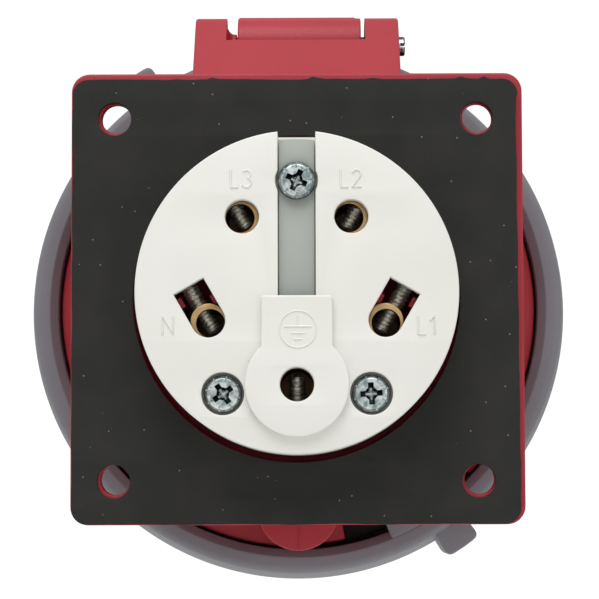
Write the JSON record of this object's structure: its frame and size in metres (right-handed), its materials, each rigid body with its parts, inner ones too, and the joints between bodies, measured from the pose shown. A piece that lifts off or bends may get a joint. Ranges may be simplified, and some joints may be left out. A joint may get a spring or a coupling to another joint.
{
  "type": "panel socket outlet",
  "caption": "Square-flange watertight panel socket outlet for three phases, neutral and earth, with a hinged lid locked by a grey bayonet ring, seen from its wiring side.",
  "frame": {"origin": "centre of the gasket's rear face, the plane that meets the panel", "axes": "+Y out of the panel along the socket's axis towards the lid, -Y towards the wiring, +Z towards the lid's hinge"},
  "size_m": [0.0944, 0.064, 0.0976],
  "materials": {
    "red_housing": "moulded, satin",
    "gasket_rubber": "die-cut foam rubber",
    "white_plastic": "moulded, satin",
    "light_grey_plastic": "moulded",
    "seal_rubber": "moulded rubber",
    "zinc_steel": "blue zinc plated",
    "black_plastic": "moulded",
    "grey_ring": "moulded, satin",
    "contact_brass": "turned",
    "spring_steel": "formed strip"
  },
  "bodies": {
    "housing": {"housing": "red_housing", "flange_gasket": "gasket_rubber", "contact_carrier": "white_plastic", "lock_strip": "light_grey_plastic", "earth_cover": "white_plastic", "carrier_screw_top": "zinc_steel", "carrier_screw_left": "zinc_steel", "carrier_screw_right": "zinc_steel", "contact_pe": "contact_brass", "contact_l1": "contact_brass", "contact_l2": "contact_brass", "contact_l3": "contact_brass", "contact_n": "contact_brass", "contact_spring_pe": "spring_steel", "contact_spring_l1": "spring_steel", "contact_spring_l2": "spring_steel", "contact_spring_l3": "spring_steel", "contact_spring_n": "spring_steel", "socket_insert": "white_plastic", "insert_seal": "seal_rubber", "hinge_pin": "zinc_steel"},
    "lid": {"lid": "red_housing", "lid_seal": "seal_rubber", "ring_retainer": "black_plastic"},
    "ring": {"bayonet_ring": "grey_ring"},
    "clamp_pe": {"clamp_screw_pe": "zinc_steel"},
    "clamp_l1": {"clamp_screw_l1": "zinc_steel"},
    "clamp_l2": {"clamp_screw_l2": "zinc_steel"},
    "clamp_l3": {"clamp_screw_l3": "zinc_steel"},
    "clamp_n": {"clamp_screw_n": "zinc_steel"}
  },
  "joints": [
    {"name": "lid_hinge", "type": "hinge", "parent": "housing", "child": "lid", "pos_m": [0, 0.0196, 0.0451], "axis": [1, 0, 0], "range_deg": [0, 110]},
    {"name": "ring_turn", "type": "hinge", "parent": "lid", "child": "ring", "pos_m": [0, 0.03, 0], "axis": [0, -1, 0], "range_deg": [0, 50]},
    {"name": "clamp_pe_travel", "type": "slide", "parent": "housing", "child": "clamp_pe", "axis": [0, 0, -1], "range_m": [0, 0.0036]},
    {"name": "clamp_l1_travel", "type": "slide", "parent": "housing", "child": "clamp_l1", "axis": [0.5, 0, 0.866], "range_m": [0, 0.0036]},
    {"name": "clamp_l2_travel", "type": "slide", "parent": "housing", "child": "clamp_l2", "axis": [0.5, 0, 0.866], "range_m": [0, 0.0036]},
    {"name": "clamp_l3_travel", "type": "slide", "parent": "housing", "child": "clamp_l3", "axis": [-0.5, 0, 0.866], "range_m": [0, 0.0036]},
    {"name": "clamp_n_travel", "type": "slide", "parent": "housing", "child": "clamp_n", "axis": [-0.5, 0, 0.866], "range_m": [0, 0.0036]}
  ]
}
